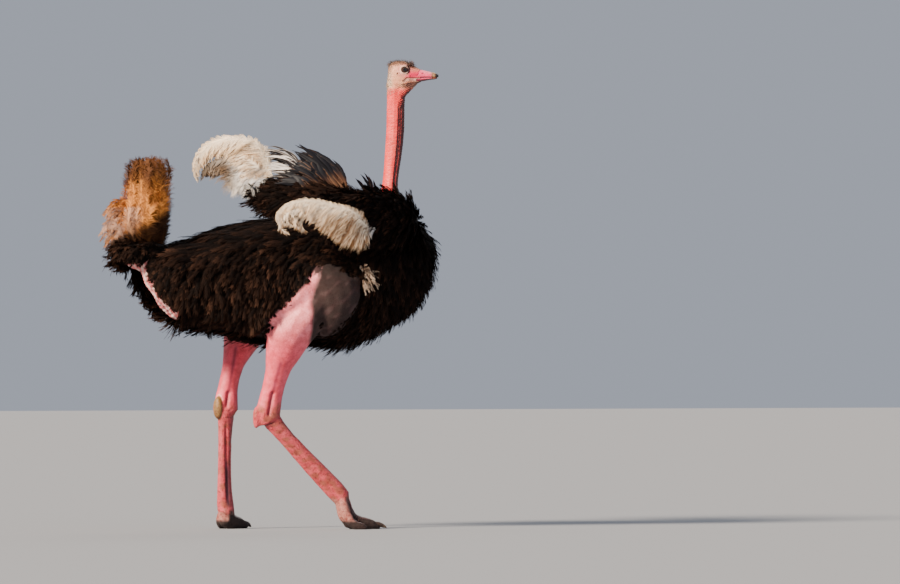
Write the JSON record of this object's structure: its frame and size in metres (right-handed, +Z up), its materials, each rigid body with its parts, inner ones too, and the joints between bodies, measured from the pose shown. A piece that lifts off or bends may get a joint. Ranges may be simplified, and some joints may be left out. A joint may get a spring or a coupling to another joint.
{
  "type": "ostrich model",
  "caption": "Life-size still model of a walking male ostrich: long bare neck, shaggy dark body, lifted wings with pale plumes, raised tail, two-toed feet.",
  "frame": {"origin": "floor level, under the middle of the bounding box", "axes": "+X the way the bird faces, +Y its left side, +Z up"},
  "size_m": [1.5938, 1.2174, 2.1898],
  "materials": {
    "body_plumage": "shaggy brown-black feathers, matt with a soft sheen",
    "wing_plumage": "loose cream-white plumes",
    "tail_plumage": "rust and tan plumes with darker tips",
    "neck_skin": "bare coral-pink skin under fine sparse down",
    "face_skin": "buff skin with short bristly down, red round the gape",
    "leg_skin": "bare rose-pink skin, scaly in front of the shank",
    "bare_thigh": "pale mauve-pink bare skin",
    "toe_skin": "dark brown scaly skin",
    "callus": "tan-brown horny pad",
    "claw": "dark horn",
    "bill": "pink to tan horn with a dark nail",
    "eye": "wet dark brown"
  },
  "bodies": {
    "root": {"trunk": "body_plumage", "thigh_right": "bare_thigh", "thigh_left": "bare_thigh", "drumstick_right": "leg_skin", "drumstick_left": "leg_skin", "shank_right": "leg_skin", "shank_left": "leg_skin", "hock_pad_right": "callus", "hock_pad_left": "callus", "big_toe_right": "toe_skin", "big_toe_left": "toe_skin", "small_toe_right": "toe_skin", "small_toe_left": "toe_skin", "claw_right": "claw", "claw_left": "claw", "neck": "neck_skin", "head": "face_skin", "eye_left": "eye", "eye_right": "eye", "bill_upper": "bill", "bill_lower": "bill", "tail_plumes": "tail_plumage", "tail_coverts": "body_plumage", "wing_right_arm": "body_plumage", "wing_left_arm": "body_plumage", "wing_left_secondaries": "body_plumage", "wing_right_plumes": "wing_plumage", "wing_left_plumes": "wing_plumage"}
  },
  "joints": []
}
